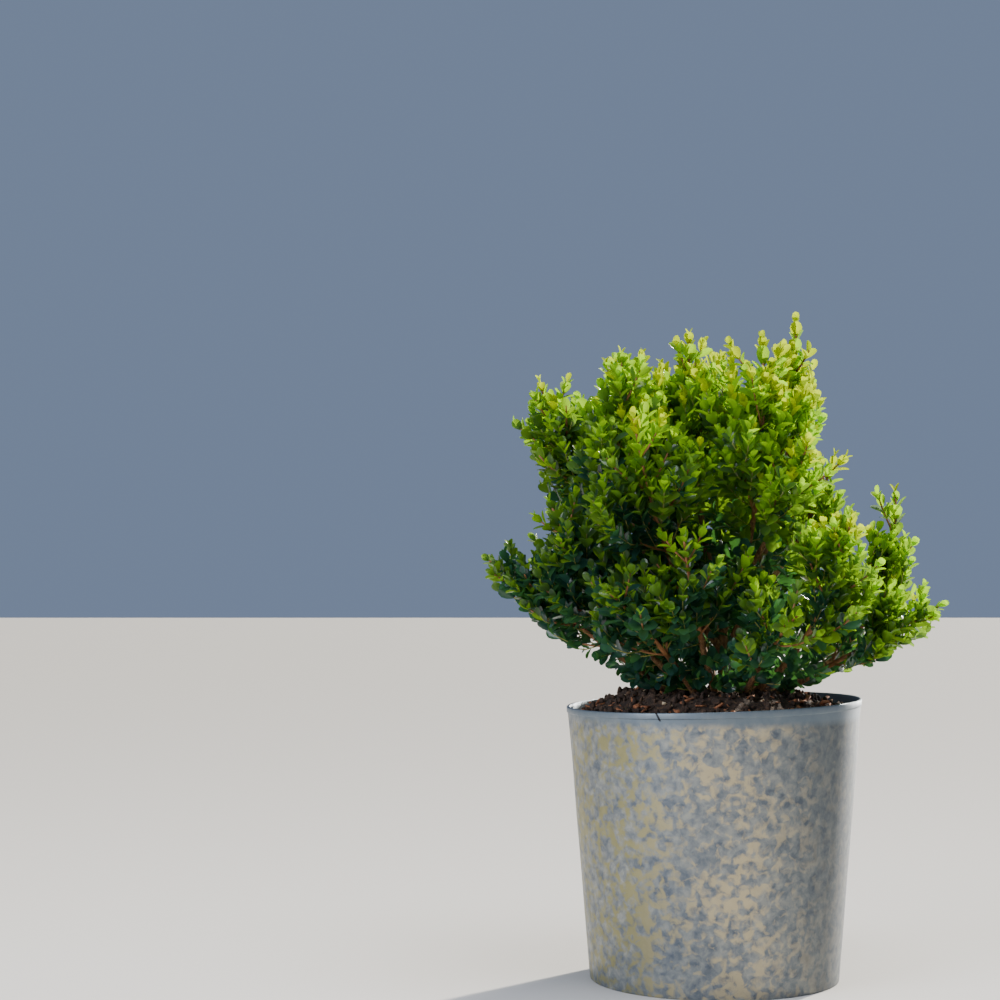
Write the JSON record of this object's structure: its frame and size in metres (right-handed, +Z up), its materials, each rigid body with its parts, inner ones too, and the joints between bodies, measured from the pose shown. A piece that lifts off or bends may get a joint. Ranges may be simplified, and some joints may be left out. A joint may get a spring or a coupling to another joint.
{
  "type": "potted box shrub",
  "caption": "Loosely grown evergreen box shrub with thin rising stems and small blunt leaves, standing in a tapered round galvanised metal tub filled with soil.",
  "frame": {"origin": "centre of the tub's flat underside", "axes": "+Z up from the underside; the pictured side is seen looking along +Y, with -X to its left and +X to its right"},
  "size_m": [0.4921, 0.4293, 0.7217],
  "materials": {
    "zinc": "galvanised sheet with a mottled zinc spangle, weathered",
    "soil": "damp dark compost with wood chips",
    "bark": "finely fissured tan bark",
    "leaf": "waxy evergreen leaf"
  },
  "bodies": {
    "root": {"tub": "zinc", "soil": "soil", "trunk": "bark", "bough_leader": "bark", "foliage_leader": "leaf", "bough_crown_1": "bark", "foliage_crown_1": "leaf", "bough_crown_2": "bark", "foliage_crown_2": "leaf", "bough_crown_3": "bark", "foliage_crown_3": "leaf", "bough_crown_4": "bark", "foliage_crown_4": "leaf", "bough_crown_5": "bark", "foliage_crown_5": "leaf", "bough_shoulder_1": "bark", "foliage_shoulder_1": "leaf", "bough_shoulder_2": "bark", "foliage_shoulder_2": "leaf", "bough_shoulder_3": "bark", "foliage_shoulder_3": "leaf", "bough_shoulder_4": "bark", "foliage_shoulder_4": "leaf", "bough_shoulder_5": "bark", "foliage_shoulder_5": "leaf", "bough_shoulder_6": "bark", "foliage_shoulder_6": "leaf", "bough_waist_1": "bark", "foliage_waist_1": "leaf", "bough_waist_2": "bark", "foliage_waist_2": "leaf", "bough_waist_3": "bark", "foliage_waist_3": "leaf", "bough_waist_4": "bark", "foliage_waist_4": "leaf", "bough_waist_5": "bark", "foliage_waist_5": "leaf", "bough_waist_6": "bark", "foliage_waist_6": "leaf", "bough_waist_7": "bark", "foliage_waist_7": "leaf", "bough_skirt_1": "bark", "foliage_skirt_1": "leaf", "bough_skirt_2": "bark", "foliage_skirt_2": "leaf", "bough_skirt_3": "bark", "foliage_skirt_3": "leaf", "bough_skirt_4": "bark", "foliage_skirt_4": "leaf", "bough_skirt_5": "bark", "foliage_skirt_5": "leaf", "bough_skirt_6": "bark", "foliage_skirt_6": "leaf", "bough_skirt_7": "bark", "foliage_skirt_7": "leaf"}
  },
  "joints": []
}
